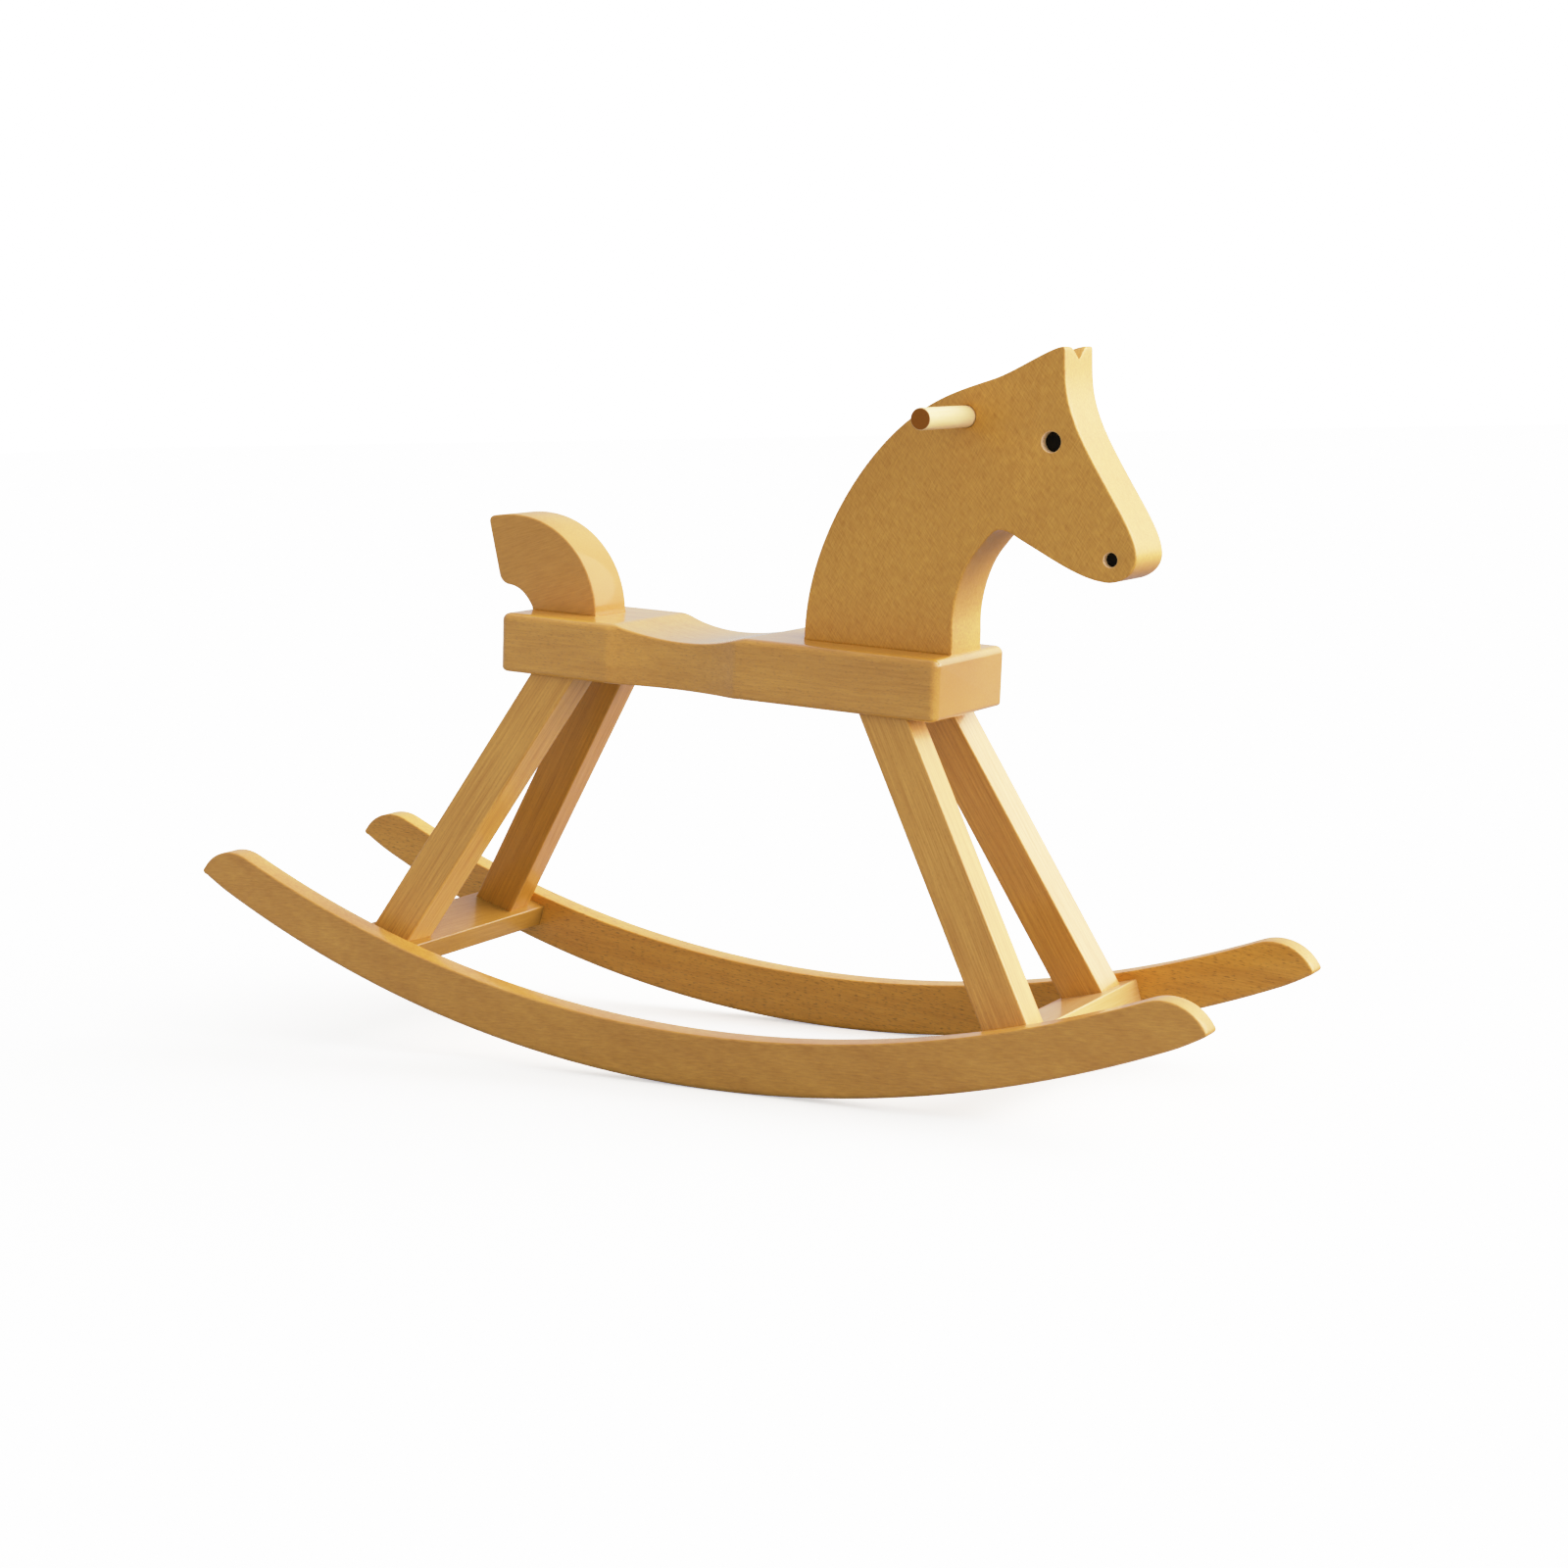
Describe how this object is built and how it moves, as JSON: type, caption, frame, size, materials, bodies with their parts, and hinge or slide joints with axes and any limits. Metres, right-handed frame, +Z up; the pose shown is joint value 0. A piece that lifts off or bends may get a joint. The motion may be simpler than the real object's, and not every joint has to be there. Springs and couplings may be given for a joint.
{
  "type": "rocking horse",
  "caption": "Wooden toy horse cut from boards, on raked legs and a pair of curved rockers, with a hand grip through the neck and a hollowed seat.",
  "frame": {"origin": "on the floor under the middle of the horse, midway between the tips of the rockers", "axes": "+X towards the nose, +Y towards the horse's left side, +Z up"},
  "size_m": [0.8426, 0.219, 0.5138],
  "materials": {
    "beech": "clear lacquer over beech that has aged to honey, satin",
    "grip_beech": "clear lacquer over a turned beech dowel, satin",
    "dowel_beech": "bare beech dowel",
    "black_plug": "black plug at the bottom of its hole"
  },
  "bodies": {
    "root": {"seat": "beech", "head": "beech", "tail": "beech", "hand_grip": "grip_beech", "eye_right": "black_plug", "eye_left": "black_plug", "nostril_right": "black_plug", "nostril_left": "black_plug", "leg_front_right": "beech", "leg_front_left": "beech", "leg_rear_right": "beech", "leg_rear_left": "beech", "foot_board_front": "beech", "foot_board_rear": "beech", "rocker_right": "beech", "rocker_left": "beech", "neck_dowels": "dowel_beech", "tail_dowels": "dowel_beech", "seat_dowels_front_right": "dowel_beech", "seat_dowels_front_left": "dowel_beech", "seat_dowels_rear_right": "dowel_beech", "seat_dowels_rear_left": "dowel_beech", "foot_dowels_front_right": "dowel_beech", "foot_dowels_front_left": "dowel_beech", "foot_dowels_rear_right": "dowel_beech", "foot_dowels_rear_left": "dowel_beech", "rocker_dowels_front_right": "dowel_beech", "rocker_dowels_front_left": "dowel_beech", "rocker_dowels_rear_right": "dowel_beech", "rocker_dowels_rear_left": "dowel_beech"}
  },
  "joints": []
}
